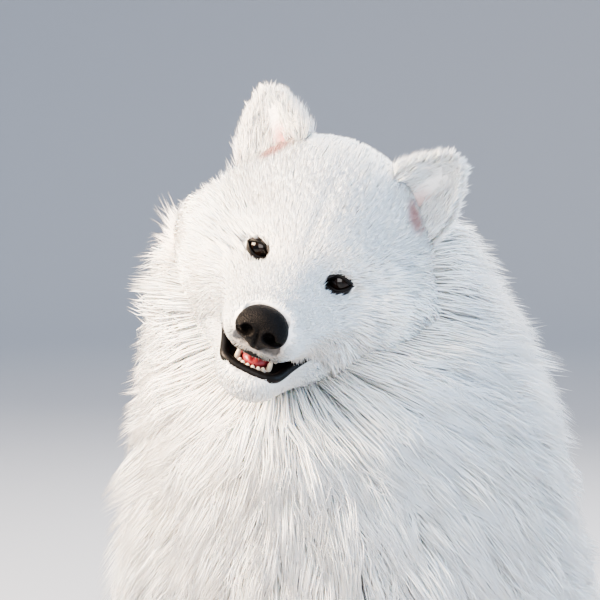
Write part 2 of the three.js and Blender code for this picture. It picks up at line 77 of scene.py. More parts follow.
WHITE, CREAM = (0.93, 0.925, 0.91), (0.90, 0.875, 0.83)
body_bones = [  # start, end, the flesh's radius at each, depth of the coat
    ((-12, -18, 672), (0, 4, 530), 64, 100, 95),
    ((0, 4, 530), (0, -8, 455), 100, 112, 78),
    ((0, 56, 566), (0, 120, 400), 92, 106, 72),
    ((0, -8, 455), (0, 112, 335), 112, 118, 52),
    ((0, 112, 335), (0, 262, 168), 118, 106, 52),
    ((0, 262, 168), (0, 318, 98), 106, 78, 58),
]
paw_bones = []
for s in (-1, 1):
    body_bones += [
        ((s * 62, -40, 436), (s * 78, -8, 326), 60, 46, 52),
        ((s * 78, -8, 330), (s * 78, -22, 130), 44, 31, 16),
        ((s * 78, -22, 130), (s * 78, -36, 52), 31, 29, 14),
        ((s * 88, 262, 172), (s * 132, 146, 200), 84, 52, 42),
        ((s * 132, 146, 200), (s * 122, 234, 66), 48, 34, 25),
    ]
    paw_bones += [
        ((s * 78, -36, 50), (s * 80, -66, 30), 32, 28, 8),
        ((s * 122, 238, 38), (s * 136, 84, 32), 29, 28, 8),
    ]
    for x, y, spread, length in ((80, -66, 15, 30), (136, 84, 14, 32)):
        for k in (-1.5, -0.5, 0.5, 1.5):
            tip = (s * x + k * spread * 1.22, y - length + abs(k) * 9, 14)
            paw_bones.append(((s * x + k * spread, y, 26), tip, 11.5, 9.5, TOE_COAT))
tail_line = [(0, 350, 172), (0, 408, 194), (-4, 450, 252), (-16, 452, 330), (-38, 414, 392),
             (-62, 360, 416), (-84, 312, 416)]
tail_bones = [
    (tail_line[i], tail_line[i + 1], 27 - 2.2 * i, 24.8 - 2.2 * i, 84 * (0.55 + 0.09 * i)) for i in range(6)
]
body_bones += tail_bones
# In the head's frame: middle and half sizes of an ellipsoid, or both ends and radii of a round cone
skull_forms = [(0, 60, 18, 70, 64, 62), (0, 20, 14, 48, 36, 37), (0, 0, -22, 0, -64, -29.5, 34, 21.5)]
jaw_forms = [(0, -54, -73, 0, 16, -62, 17, 27)]
nose_forms = [(0, -80, -24.5, 17.5, 13, 12.5), (0, -81, -36.5, 7.5, 8.5, 8)]
for s in (-1, 1):
    skull_forms += [(s * 40, 42, -20, 40, 46, 44), (s * 29, 12, 18, 19, 17, 11),
                    (s * 22, -8, -33, s * 12, -64, -34, 26, 16.5)]
    jaw_forms.append((s * 10, -52, -72, s * 30, 18, -58, 13.5, 26))
    nose_forms.append((s * 9.5, -84, -29.5, 9.5, 9.5, 8.5))
head_forms = skull_forms + jaw_forms


def share_of(bones, share):
    """Bones as forms of the field, filled out with a share of their coat."""
    return [(*a, *b, ra + coat * share, rb + coat * share) for a, b, ra, rb, coat in bones]


def distance(points, forms, blend):
    """How far each point lies outside soft flesh: six numbers are an ellipsoid, eight a round cone."""
    total = np.full(len(points), 1e6)
    for form in forms:
        start = np.array(form[:3], float)
        if len(form) == 6:
            reach = (points - start) / form[3:]
            near = np.linalg.norm(reach, axis=1)
            one = near * (near - 1) / np.maximum(np.linalg.norm(reach / form[3:], axis=1), 1e-6)
        else:
            span = np.array(form[3:6]) - start
            t = np.clip((points - start) @ span / (span @ span), 0, 1)
            one = np.linalg.norm(points - start - t[:, None] * span, axis=1)
            one -= form[6] + (form[7] - form[6]) * t
        shared = np.maximum(blend - np.abs(total - one), 0) / blend
        total = np.minimum(total, one) - shared**2 * blend / 4
    return total


def outward(points, forms, blend):
    """The direction away from the flesh at each point."""
    here = distance(points, forms, blend)
    slope = np.stack([distance(points + np.eye(3)[k], forms, blend) - here for k in range(3)], axis=1)
    return slope / np.maximum(np.linalg.norm(slope, axis=1, keepdims=True), 1e-6)


def unit(vectors):
    return vectors / np.maximum(np.linalg.norm(vectors, axis=1, keepdims=True), 1e-9)


def ramp(values, low, high):
    """A smooth step from 0 at low to 1 at high."""
    t = np.clip((values - low) / (high - low), 0, 1)
    return t * t * (3 - 2 * t)


# The eyes of the frame say where the head stands now that the origin has moved
def face_front(x, z):
    y = np.arange(-120, 60, 0.25)
    line = np.stack([np.full_like(y, x), y, np.full_like(y, z)], axis=1)
    return y[np.argmax(distance(line, skull_forms, FACE_BLEND) <= 0)]


eye_y = face_front(EYE_SPREAD, 0) + EYE_RADIUS + 0.6
eye_boxes = [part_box("eye_left"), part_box("eye_right")]
eyes_middle = np.array([(low + high) / 2 for low, high in eye_boxes]).mean(axis=0) * 1000
shift = eyes_middle - (HEAD_AT + head_turn @ np.array([0, eye_y, 0]))


def from_head(points):
    return np.asarray(points, float) @ head_turn.T + HEAD_AT


def to_head(points):
    return (np.asarray(points, float) - HEAD_AT) @ head_turn


def place(points):
    """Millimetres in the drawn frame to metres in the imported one."""
    return (np.asarray(points, float) + shift) / 1000


def add_object(name, points, faces, material, smooth=True):
    mesh = bpy.data.meshes.new(name)
    mesh.from_pydata(place(points).tolist(), [], [list(map(int, f)) for f in faces])
    mesh.materials.append(material)
    mesh.shade_smooth() if smooth else mesh.shade_flat()
    made = bpy.data.objects.new(name, mesh)
    bpy.context.scene.collection.objects.link(made)
    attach(made, "root")
    return made


# Camera: where the photograph was taken from, looking slightly down at a head that fills the picture
right = np.array([0.866, 0.5, 0])
ahead = np.array([-0.497, 0.861, -0.1045])
above = np.array([-0.052, 0.0905, 0.9945])
eye_point = HEAD_AT - 0.65 * right - 1237 * ahead - 26.7 * above
camera = bpy.data.objects.new("camera", bpy.data.cameras.new("camera"))
camera.data.lens = 100
camera.data.sensor_width = 36
camera.data.clip_start = 0.05
axes = np.stack([right, above, -ahead], axis=1).tolist()
camera.matrix_world = Matrix(
    [[*row, float(p)] for row, p in zip(axes, place(eye_point))] + [[0, 0, 0, 1]]
)
bpy.context.scene.collection.objects.link(camera)
bpy.context.scene.camera = camera

# Light: a broad warm key from the picture's left, a cooler fill from its right, a rim from behind and a
# weak front light, over a pale floor that bends up into a wall
lights = [  # name, metres to the right, ahead and up of the head, size, watts, colour
    ("key", -2.1, -0.5, 1.2, 1.4, 235, (1.0, 0.77, 0.56)),
    ("fill", 2.2, -0.6, 0.5, 1.8, 30, (0.55, 0.75, 1.0)),
    ("rim", 0.6, 2.2, 1.3, 1.3, 60, (1.0, 0.96, 0.92)),
    ("front", -0.3, -2.6, 0.7, 1.8, 34, (1.0, 0.97, 0.95)),
]
head_spot = Vector(place(HEAD_AT))
for name, across, deep, high, size, power, colour in lights:
    lamp = bpy.data.objects.new(name, bpy.data.lights.new(name, "AREA"))
    lamp.data.size = size
    lamp.data.energy = power
    lamp.data.color = colour
    spot = across * right + deep * np.array([-0.5, 0.866, 0]) + np.array([0, 0, high])
    lamp.location = head_spot + Vector(spot.tolist())
    lamp.rotation_euler = (head_spot - lamp.location).to_track_quat("-Z", "Y").to_euler()
    bpy.context.scene.collection.objects.link(lamp)
world = bpy.data.worlds.new("studio")
world.use_nodes = True
world.node_tree.nodes["Background"].inputs[0].default_value = (0.60, 0.69, 0.83, 1)
world.node_tree.nodes["Background"].inputs[1].default_value = 1.15
bpy.context.scene.world = world
bpy.context.scene.view_settings.view_transform = "AgX"
bpy.context.scene.view_settings.look = "AgX - Medium High Contrast"
bpy.context.scene.view_settings.exposure = 1.05
floor_shape = bmesh.new()
sweep = [(FLOOR_RADIUS + FLOOR_BEND * math.sin(a), FLOOR_BEND * (1 - math.cos(a)))
         for a in np.linspace(0, math.pi / 2, 16)]
sweep.append((FLOOR_RADIUS + FLOOR_BEND, WALL_HEIGHT))
rings = [[floor_shape.verts.new((r * math.cos(a), r * math.sin(a), z))
          for a in np.arange(96) * math.pi / 48] for r, z in sweep]
floor_shape.faces.new(rings[0])
for inner, outer in zip(rings, rings[1:]):
    for k in range(96):
        floor_shape.faces.new((inner[k], outer[k], outer[(k + 1) % 96], inner[(k + 1) % 96]))
for face in floor_shape.faces:
    face.smooth = True
floor = bpy.data.objects.new("floor", bpy.data.meshes.new("floor"))
floor_shape.to_mesh(floor.data)
floor_shape.free()
bpy.context.scene.collection.objects.link(floor)


# Materials: each is a Principled surface; tints, spots and bumps come from the object's own coordinates
def surface(name, colour, roughness, **more):
    material = bpy.data.materials.new(name)
    material.use_nodes = True
    shader = material.node_tree.nodes["Principled BSDF"]
    shader.inputs["Base Color"].default_value = (*colour, 1)
    shader.inputs["Roughness"].default_value = roughness
    for key, value in more.items():
        shader.inputs[key.replace("_", " ")].default_value = value
    return material


def bump(material, scale, strength, depth, kind="ShaderNodeTexNoise"):
    tree = material.node_tree
    where = tree.nodes.new("ShaderNodeTexCoord")
    grain = tree.nodes.new(kind)
    grain.inputs["Scale"].default_value = scale
    relief = tree.nodes.new("ShaderNodeBump")
    relief.inputs["Strength"].default_value = strength
    relief.inputs["Distance"].default_value = depth
    tree.links.new(where.outputs["Object"], grain.inputs["Vector"])
    tree.links.new(grain.outputs[0], relief.inputs["Height"])
    tree.links.new(relief.outputs["Normal"], tree.nodes["Principled BSDF"].inputs["Normal"])


def tint_near(material, spot, near, far, colour, amount=1.0):
    """Mixes a colour in round a spot of the object, full within near and gone beyond far, all in metres."""
    tree = material.node_tree
    into = tree.nodes["Principled BSDF"].inputs["Base Color"]
    where = tree.nodes.new("ShaderNodeTexCoord")
    away = tree.nodes.new("ShaderNodeVectorMath")
    away.operation = "DISTANCE"
    away.inputs[1].default_value = [float(c) for c in spot]
    spread = tree.nodes.new("ShaderNodeMapRange")
    spread.interpolation_type = "SMOOTHSTEP"
    for key, value in (("From Min", near), ("From Max", far), ("To Min", amount), ("To Max", 0.0)):
        spread.inputs[key].default_value = value
    blend = tree.nodes.new("ShaderNodeMix")
    blend.data_type = "RGBA"
    blend.inputs["A"].default_value = into.default_value
    if into.links:
        tree.links.new(into.links[0].from_socket, blend.inputs["A"])
    blend.inputs["B"].default_value = (*colour, 1)
    tree.links.new(where.outputs["Object"], away.inputs[0])
    tree.links.new(away.outputs["Value"], spread.inputs["Value"])
    tree.links.new(spread.outputs["Result"], blend.inputs["Factor"])
    tree.links.new(blend.outputs["Result"], into)


def mottle(material, first, second, scale, low=0.35, high=0.65):
    """Two colours mixed by a soft noise in the object's own coordinates."""
    tree = material.node_tree
    where = tree.nodes.new("ShaderNodeTexCoord")
    noise = tree.nodes.new("ShaderNodeTexNoise")
    noise.inputs["Scale"].default_value = scale
    noise.inputs["Detail"].default_value = 4
    bands = tree.nodes.new("ShaderNodeValToRGB")
    bands.color_ramp.elements[0].position = low
    bands.color_ramp.elements[1].position = high
    bands.color_ramp.elements[0].color = (*first, 1)
    bands.color_ramp.elements[1].color = (*second, 1)
    tree.links.new(where.outputs["Object"], noise.inputs["Vector"])
    tree.links.new(noise.outputs[0], bands.inputs["Fac"])
    tree.links.new(bands.outputs["Color"], tree.nodes["Principled BSDF"].inputs["Base Color"])


floor.data.materials.append(surface("pale_floor", (0.33, 0.345, 0.37), 0.9))
skin_look = surface("undercoat", CREAM, 0.8)
mottle(skin_look, (0.90, 0.885, 0.865), (0.95, 0.94, 0.925), 60)
bump(skin_look, 420, 0.5, 0.002)
coat_look = surface("white_coat", WHITE, 0.62, Subsurface_Weight=0.2, Subsurface_Scale=0.006)
mottle(coat_look, CREAM, WHITE, 26, 0.3, 0.55)
coat_look.node_tree.nodes["Principled BSDF"].inputs["Specular IOR Level"].default_value = 0.25
nose_spot = place(from_head([[0, -80, -45]]))[0]
for look in (skin_look, coat_look):
    tint_near(look, nose_spot, 0.015, 0.031, (0.13, 0.115, 0.105), 0.85)
for s in (-1, 1):
    eye_spot = place(from_head([[s * EYE_SPREAD, eye_y - EYE_RADIUS, 0]]))[0]
    tint_near(skin_look, eye_spot, 0.0102, 0.0130, (0.012, 0.010, 0.010))
    tint_near(coat_look, eye_spot, 0.0105, 0.0130, (0.30, 0.27, 0.24), 0.35)
    cup_spot = place(from_head([[67, 54, 57] if s > 0 else [-60, 54, 62]]))[0]
    tint_near(skin_look, cup_spot, 0.016, 0.028, (0.44, 0.11, 0.10))
    tint_near(coat_look, cup_spot, 0.008, 0.0195, (0.52, 0.19, 0.17), 0.8)
leather_look = surface("nose_leather", (0.004, 0.0035, 0.0035), 0.46, Specular_IOR_Level=0.09)
bump(leather_look, 900, 0.55, 0.0009, "ShaderNodeTexVoronoi")
lip_look = surface("lip_black", (0.005, 0.0045, 0.0045), 0.42, Specular_IOR_Level=0.16)
bump(lip_look, 500, 0.3, 0.0006)
mouth_look = surface("mouth_pink", (0.26, 0.06, 0.06), 0.4, Coat_Weight=0.25)
tongue_look = surface("tongue_pink", (0.25, 0.03, 0.035), 0.4, Coat_Weight=0.2, Subsurface_Weight=0.15,
                      Subsurface_Scale=0.004)
bump(tongue_look, 1300, 0.35, 0.0006)
tooth_look = surface("tooth_ivory", (0.62, 0.54, 0.42), 0.3, Coat_Weight=0.2)
claw_look = surface("claw_horn", (0.10, 0.075, 0.06), 0.35, Coat_Weight=0.2)
eye_look = surface("eye_brown", (0.004, 0.003, 0.0025), 0.05, Specular_IOR_Level=0.35)
whisker_look = surface("whisker", (0.55, 0.52, 0.50), 0.35)


# Skin: overlapping balls along each bone are remeshed into one surface, which is then drawn onto the
# soft field of the flesh
def points_of(made):
    flat = np.empty(len(made.data.vertices) * 3)
    made.data.vertices.foreach_get("co", flat)
    return flat.reshape(-1, 3)


def move_points(made, points):
    made.data.vertices.foreach_set("co", points.ravel())


def object_from(name, shape):
    """An object in the scene from a shape under construction, which is freed."""
    made = bpy.data.objects.new(name, bpy.data.meshes.new(name))
    shape.to_mesh(made.data)
    shape.free()
    bpy.context.scene.collection.objects.link(made)
    return made


def applied(made, *modifiers):
    """The object's mesh with these modifiers applied and taken off again."""
    for kind, settings in modifiers:
        modifier = made.modifiers.new(kind.lower(), kind)
        for key, value in settings.items():
            setattr(modifier, key, value)
    graph = bpy.context.evaluated_depsgraph_get()
    mesh = bpy.data.meshes.new_from_object(made.evaluated_get(graph))
    made.modifiers.clear()
    made.data = mesh
    return made


def flesh(name, forms, blend, voxel, seat=lambda points: points):
    shape = bmesh.new()
    for form in forms:
        if len(form) == 6:
            size = Matrix.Translation(form[:3]) @ Matrix.Diagonal((*form[3:], 1))
            bmesh.ops.create_icosphere(shape, subdivisions=4, radius=1, matrix=size)
            continue
        a, b = np.array(form[:3], float), np.array(form[3:6], float)
        count = 2 + int(np.linalg.norm(b - a) / (0.3 * min(form[6], form[7])))
        for t in np.linspace(0, 1, count):
            at = Matrix.Translation((a + (b - a) * t).tolist())
            radius = form[6] + (form[7] - form[6]) * t
            bmesh.ops.create_icosphere(shape, subdivisions=3, radius=radius, matrix=at)
    made = object_from(name, shape)
    applied(made, ("REMESH", {"mode": "VOXEL", "voxel_size": voxel}))
    points = points_of(made)
    for _ in range(4):
        step = np.clip(distance(points, forms, blend), -5, 5)
        points -= outward(points, forms, blend) * step[:, None]
    move_points(made, seat(points))
    return made


def parting(name, outline, half_width):
    """A prism across the head from an outline in its side view, for the open mouth."""
    shape = bmesh.new()
    base = shape.faces.new([shape.verts.new((-half_width, y, z)) for y, z in outline])
    sides = bmesh.ops.extrude_face_region(shape, geom=[base])
    moved = [v for v in sides["geom"] if isinstance(v, bmesh.types.BMVert)]
    bmesh.ops.translate(shape, verts=moved, vec=(2 * half_width, 0, 0))
    bmesh.ops.recalc_face_normals(shape, faces=shape.faces)
    return object_from(name, shape)


def hollow(name, x, y, z, rx, ry, rz):
    shape = bmesh.new()
    size = Matrix.Translation((x, y, z)) @ Matrix.Diagonal((rx, ry, rz, 1))
    bmesh.ops.create_icosphere(shape, subdivisions=4, radius=1, matrix=size)
    return object_from(name, shape)


# The eyelids: skin inside the almond of the open eye sinks behind the ball, and the skin round it swells
# over it. The skin behind the nose leather sinks too, and a shallow furrow runs down the brow.
def lidded(points):
    points = points.copy()
    for s in (-1, 1):
        middle = np.array([s * EYE_SPREAD, eye_y, 0])
        away = points - middle
        x = away[:, 0] * math.cos(LID_SLANT) + s * away[:, 2] * math.sin(LID_SLANT)
        z = away[:, 2] * math.cos(LID_SLANT) - s * away[:, 0] * math.sin(LID_SLANT)
        lid = 1 - np.clip(np.abs(x) / (LID_LENGTH / 2), 0, 1) ** 1.8
        rim = np.where(z > 0, 0.56, 0.44) * LID_HEIGHT * lid
        out = np.maximum(np.abs(z) - rim, 0) + np.maximum(np.abs(x) - LID_LENGTH / 2, 0)
        front = away[:, 1] < 4
        open_eye = front & (out <= 0.4)
        points[open_eye, 1] = np.maximum(points[open_eye, 1], eye_y - EYE_RADIUS + 6)
        rounded = EYE_RADIUS + 2.2
        flat = away[:, 0] ** 2 + away[:, 2] ** 2
        over = middle[1] - np.sqrt(np.maximum(rounded**2 - flat, 0))
        lid_skin = front & (out > 0.4) & (flat < rounded**2)
        keep = np.exp(-((out / 4.0) ** 2))
        wanted = np.minimum(points[:, 1], over)
        points[lid_skin, 1] += ((wanted - points[:, 1]) * keep)[lid_skin]
        ring = np.exp(-(((np.sqrt(flat) - 17) / 3.0) ** 2)) * front
        points[:, 1] += 1.1 * ring
    behind_nose = (np.abs(points[:, 0]) < 17) & (points[:, 1] < -72)
    behind_nose &= (points[:, 2] > -44) & (points[:, 2] < -12)
    points[behind_nose, 1] = np.maximum(points[behind_nose, 1], -76)
    brow = np.exp(-((points[:, 0] / 5.0) ** 2)) * ramp(points[:, 1], 45, -5) * ramp(points[:, 2], 2, 16)
    points[:, 1] += 2.2 * brow * (points[:, 1] < 45)
    return points


head_voxel, body_voxel = ((1.35, 6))
head = flesh("head_skin", head_forms, FACE_BLEND, head_voxel, lidded)
cutters = [
    parting("mouth", [(-15, -46.9), (-110, -49.5), (-110, -80), (-60, -66)], 80),
    hollow("palate", 0, -44, -47, 15, 30, 9),
    hollow("mouth_floor", 0, -42, -62, 14.5, 27.5, 10),
]
for cutter in cutters:
    applied(head, ("BOOLEAN", {"operation": "DIFFERENCE", "solver": "MANIFOLD", "object": cutter}))
    bpy.data.objects.remove(cutter)

# The ears: thick rounded triangles, hollowed into cups at the front
ear_shapes = []
rows, columns = ((54, 56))
for s in (-1, 1):
    base, tip = np.array([s * 47, 64, 36.0]), np.array([77, 72, 104.0] if s > 0 else [-84, 76, 96.0])
    rise = (tip - base) / np.linalg.norm(tip - base)
    tip = tip - 7 * rise
    wide = np.array([s * 0.86, 0.4, -0.3])
    wide -= rise * (rise @ wide)
    wide /= np.linalg.norm(wide)
    back = np.cross(rise, wide) * s
    grid = []
    for i in range(1, rows):
        share = 1 - i / rows
        t = 0.5 - 0.5 * math.cos(share * math.pi)
        turn = np.linspace(0, 2 * math.pi, columns, endpoint=False)
        c, front = np.cos(turn), np.sin(turn) <= 0
        opening = min(1, share * 7)
        half = 31 * (1 - t**2.1) ** 0.66 * opening
        cup = 15 * (1 - t) ** 0.6
        outer = (cup + (13 - 4 * t) * min(1, (1 - share) * 6)) * np.sqrt(np.maximum(1 - c**6, 0))
        deep = np.where(front, cup * (1 - np.abs(c) ** 3), outer) * opening - cup * 0.4
        middle = base + t * np.linalg.norm(tip - base) * rise
        grid.append(middle + np.outer(half * c, wide) + np.outer(deep, back))
    points = np.concatenate([*grid, grid[0].mean(axis=0)[None], grid[-1].mean(axis=0)[None]])
    faces = [
        (i * columns + j, i * columns + (j + 1) % columns, (i + 1) * columns + (j + 1) % columns,
         (i + 1) * columns + j)
        for i in range(rows - 2) for j in range(columns)
    ]
    last = (rows - 2) * columns
    faces += [((j + 1) % columns, j, len(points) - 2) for j in range(columns)]
    faces += [(last + j, last + (j + 1) % columns, len(points) - 1) for j in range(columns)]
    mesh = bpy.data.meshes.new("ear")
    mesh.from_pydata(points.tolist(), [], faces)
    shape = bmesh.new()
    shape.from_mesh(mesh)
    bmesh.ops.recalc_face_normals(shape, faces=shape.faces)
    shape.to_mesh(mesh)
    shape.free()
    ear = bpy.data.objects.new("ear", mesh)
    bpy.context.scene.collection.objects.link(ear)
    applied(ear, ("SMOOTH", {"factor": 0.5, "iterations": 6}))
    ear_shapes.append((ear, base, rise, wide, back))

# The trunk, legs and tail, then the paws with finer toes, and the union of them all as one skin
body_forms = share_of(body_bones, SKIN_SHARE)
outer_forms = share_of(body_bones, 1.0)
paw_forms = share_of(paw_bones, SKIN_SHARE)


def above_floor(points):
    return np.maximum(points, [-1e4, -1e4, 1.2])


skin = flesh("skin", body_forms, 26.0, body_voxel, above_floor)
paws = flesh("paws", paw_forms, PAW_BLEND, 2, above_floor)


def triangles_of(made, turn):
    """The three corners of each triangle of a mesh, turned into the drawn frame."""
    made.data.calc_loop_triangles()
    ids = np.empty(len(made.data.loop_triangles) * 3, np.int64)
    made.data.loop_triangles.foreach_get("vertices", ids)
    return turn(points_of(made))[ids.reshape(-1, 3)]


head_triangles = triangles_of(head, from_head)
body_triangles = triangles_of(skin, above_floor)
paw_triangles = triangles_of(paws, above_floor)
ear_triangles = [triangles_of(ear, from_head) for ear, *_ in ear_shapes]
for part in (paws, head, *(ear for ear, *_ in ear_shapes)):
    if part != paws:
        move_points(part, from_head(points_of(part)))
    applied(skin, ("BOOLEAN", {"operation": "UNION", "solver": "MANIFOLD", "object": part}))
    bpy.data.objects.remove(part)
move_points(skin, place(points_of(skin)))
skin.data.materials.clear()
skin.data.materials.append(skin_look)
skin.data.shade_smooth()
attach(skin, "root")
hairy = ["neck", "torso", "tail", "head", "lower_jaw", "ear_left", "ear_right"]
hairy += [part + side for part in ("foreleg_", "forepaw_", "thigh_", "hindpaw_")
          for side in ("left", "right")]
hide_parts(*hairy)


# Unwrap of the skin: head and ears round the head's axis in the upper half, the rest round the trunk in
# the lower half
def unwrap(points):
    local = to_head(points)
    near_ear = (np.abs(local[:, 0]) > 20) & (np.abs(local[:, 2] - 82.5) < 42.5)
    near_head = distance(local, head_forms, FACE_BLEND) < 30
    near_head |= near_ear & (np.abs(local[:, 1] - 66) < 44)
    turn = np.arctan2(local[:, 0], local[:, 2] + 10) / (2 * math.pi) + 0.5
    up = np.clip((local[:, 1] + 110) / 260, 0, 1)
    spine = np.array([0, 0.5, -0.866])
    middle = np.array([0, 60, 380])
    away = points - middle
    along = away @ spine
    side = away - along[:, None] * spine
    around = np.arctan2(side[:, 0], side @ np.array([0, 0.866, 0.5])) / (2 * math.pi) + 0.5
    down = np.clip((along + 420) / 950, 0, 1)
    u = np.where(near_head, turn, around)
    v = np.where(near_head, 0.53 + 0.45 * up, 0.01 + 0.48 * down)
    return np.stack([0.01 + 0.98 * u, v], axis=1)


skin_map = skin.data.uv_layers.new(name="UVMap")
loop_ids = np.empty(len(skin.data.loops), np.int64)
skin.data.loops.foreach_get("vertex_index", loop_ids)
skin_map.data.foreach_set("uv", unwrap(points_of(skin) * 1000 - shift)[loop_ids].ravel())


# Coat: roots are dealt out over the skin by area, and each tuft climbs from its root along the lie of
# the hair
def deal(triangles, count, density):
    """Root points and normals over triangles, with more of them where density is higher."""
    a, b, c = triangles[:, 0], triangles[:, 1], triangles[:, 2]
    normal = np.cross(b - a, c - a)
    area = np.linalg.norm(normal, axis=1)
    weight = area * density(triangles.mean(axis=1), normal / np.maximum(area, 1e-9)[:, None])
    pick = chance.choice(len(triangles), count, p=weight / weight.sum())
    u, v = chance.random((2, count))
    flip = u + v > 1
    u[flip], v[flip] = 1 - u[flip], 1 - v[flip]
    at = a[pick] + (b - a)[pick] * u[:, None] + (c - a)[pick] * v[:, None]
    return at, unit(normal[pick])


def grow_paths(roots, normals, lie, length, height, forms, blend, steps):
    """Points of each tuft's middle line, which keeps its height over the flesh as it follows the lie."""
    path = [roots - normals * 0.6]
    here, up = roots.copy(), normals
    base = distance(roots, forms, blend)
    for k in range(1, steps + 1):
        along = unit(lie - up * (lie * up).sum(axis=1, keepdims=True))
        here = here + along * (length / steps)[:, None]
        up = outward(here, forms, blend)
        rise = base + height * (k / steps) ** 0.75
        here = here + up * (rise - distance(here, forms, blend))[:, None]
        path.append(here)
    return np.stack(path, axis=1)


def clump(path, size, strength, wave):
    """Draws neighbouring tufts together towards their tips and lets each lock of them sway a little."""
    count, steps = len(path), path.shape[1] - 1
    leaders = chance.choice(count, max(4, count // size), replace=False)
    tree = KDTree(len(leaders))
    for k, leader in enumerate(leaders):
        tree.insert(path[leader, 0].tolist(), k)
    tree.balance()
    mine = np.array([tree.find(p)[1] for p in path[:, 0].tolist()])
    lead = path[leaders[mine]]
    sway = unit(chance.normal(size=(len(leaders), 3)))[mine]
    phase = chance.random(len(leaders))[mine] * 6.3
    own = strength * chance.uniform(0.6, 1.1, count)
    for k in range(1, steps + 1):
        t = k / steps
        path[:, k] += (lead[:, k] - path[:, k]) * (own * t**1.3)[:, None]
        path[:, k] += sway * (wave * math.sqrt(t) * np.sin(phase + 4.2 * t))[:, None]
    return path


PATCH = 0.003  # side of each tuft's patch on the unwrap


def add_tufts(name, path, normals, width, flat, swell, roots):
    """Closed three-sided tapering tufts as one mesh, with a small patch of the skin's unwrap for each."""
    count, rings = len(path), path.shape[1] - 1
    shape = np.empty((count, rings * 3 + 1, 3))
    for k in range(rings):
        forward = unit(path[:, k + 1] - path[:, max(k - 1, 0)])
        across = unit(np.cross(forward, normals))
        up = np.cross(across, forward)
        half = (width * swell[k] / 2)[:, None]
        shape[:, 3 * k] = path[:, k] + across * half
        shape[:, 3 * k + 1] = path[:, k] + up * half * flat
        shape[:, 3 * k + 2] = path[:, k] - across * half
    shape[:, -1] = path[:, -1]
    local = [(0, 2, 1)]
    for k in range(rings - 1):
        for i in range(3):
            a, b = 3 * k + i, 3 * k + (i + 1) % 3
            local += [(a, b, b + 3), (a, b + 3, a + 3)]
    top = 3 * (rings - 1)
    local += [(top, top + 1, top + 3), (top + 1, top + 2, top + 3), (top + 2, top, top + 3)]
    local = np.array(local)
    faces = (local[None] + (np.arange(count) * shape.shape[1])[:, None, None]).reshape(-1, 3)
    at = unwrap(roots)
    across = chance.random(shape.shape[1]) - 0.5
    corner = PATCH * np.stack([across, np.linspace(-0.5, 0.5, shape.shape[1])], axis=1)
    uv = np.clip(at[:, None] + corner[None], 0.0005, 0.9995).reshape(-1, 2)
    points = place(shape.reshape(-1, 3))
    mesh = bpy.data.meshes.new(name)
    mesh.vertices.add(len(points))
    mesh.vertices.foreach_set("co", points.ravel())
    mesh.loops.add(faces.size)
    mesh.loops.foreach_set("vertex_index", faces.ravel())
    mesh.polygons.add(len(faces))
    mesh.polygons.foreach_set("loop_start", np.arange(0, faces.size, 3))
    mesh.update(calc_edges=True)
    mesh.shade_smooth()
    mesh.uv_layers.new(name="OFBake").data.foreach_set("uv", uv[faces.ravel()].ravel())
    mesh.materials.append(coat_look)
    coat = bpy.data.objects.new(name, mesh)
    bpy.context.scene.collection.objects.link(coat)
    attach(coat, "root")


def in_pieces(name, tris_each, count):
    """Slices of a coat that keep each piece under its share of triangles."""
    pieces = max(1, math.ceil(count * tris_each / 190000))
    edges = np.linspace(0, count, pieces + 1).astype(int)
    return [(f"{name}_{k + 1}", slice(edges[k], edges[k + 1])) for k in range(pieces)]


dense = 1.0
to_camera = unit((eye_point - np.array([0, 0, 500]))[None])[0]

# The face: short plush that runs back from the nose, longer on crown and cheeks, hanging over the lips,
# and none on the lids and the leather
eye_middles = [np.array([s * EYE_SPREAD, eye_y - EYE_RADIUS, 0.0]) for s in (-1, 1)]


def face_density(at, normal):
    local = to_head(at)
    weight = 0.55 + 0.75 * ramp(local[:, 1], 60, -10)
    weight *= 1 + 0.8 * np.clip(normal @ to_camera, 0, 1)
    weight[distance(at, body_forms, BODY_BLEND) < -4] = 0
    for middle in eye_middles:
        weight[np.linalg.norm((local - middle) * [1, 0.6, 1.65], axis=1) < 12.2] = 0
    weight[distance(local, nose_forms, NOSE_BLEND) < 1.5] = 0
    inside = (local[:, 1] < -20) & (np.abs(local[:, 0]) < 60)
    depth = distance(local, head_forms, FACE_BLEND)
    weight[inside & (depth < -0.9)] = 0
    return weight


count = int(41000 * dense)
roots, normals = deal(head_triangles, count, face_density)
local, local_normal = to_head(roots), normals @ head_turn
side = np.sign(local[:, 0])
lower = ramp(local[:, 2], 62, 0)
behind = ramp(local[:, 1] - 0.25 * np.abs(local[:, 0]), -44, 8)
lie = unit(local - np.array([0, -98, -34]))
lie[:, 0] *= 0.75
fluff = lower * behind * ramp(np.abs(local[:, 0]) - local[:, 2] * 0.45, 30, 62)
lie[:, 1] -= 0.35 * fluff
lie[:, 2] -= 0.55 * fluff
lie[:, 0] += side * 0.75 * fluff
chin = ramp(local[:, 2], -62, -84) * ramp(local[:, 1], 20, -30)
flew = ramp(local[:, 2], -26, -40) * (local[:, 2] > -48.6)
flew *= ramp(local[:, 1], -70, -56) * ramp(local[:, 1], 0, -14)
lie[:, 2] -= 0.5 * chin + 1.5 * flew
lie += chance.normal(scale=0.08, size=lie.shape)
crown = ramp(local[:, 1], 8, 70) * (1 - lower)
near_eye = np.minimum(*[np.linalg.norm(local - middle, axis=1) for middle in eye_middles])
length = 7 + 7 * ramp(local[:, 1], -40, 25) + 12 * crown + 66 * fluff + 8 * chin + 5 * flew
length *= 0.55 + 0.45 * ramp(near_eye, 11, 24)
length *= chance.uniform(0.75, 1.15, count)
height = length * (0.22 + 0.36 * fluff + 0.10 * crown)
paths = grow_paths(local, local_normal, lie, length, height, head_forms, FACE_BLEND, 2)
paths = clump(paths, 9, 0.25 + 0.3 * behind, 0.03 * length)
paths = from_head(paths.reshape(-1, 3)).reshape(paths.shape)
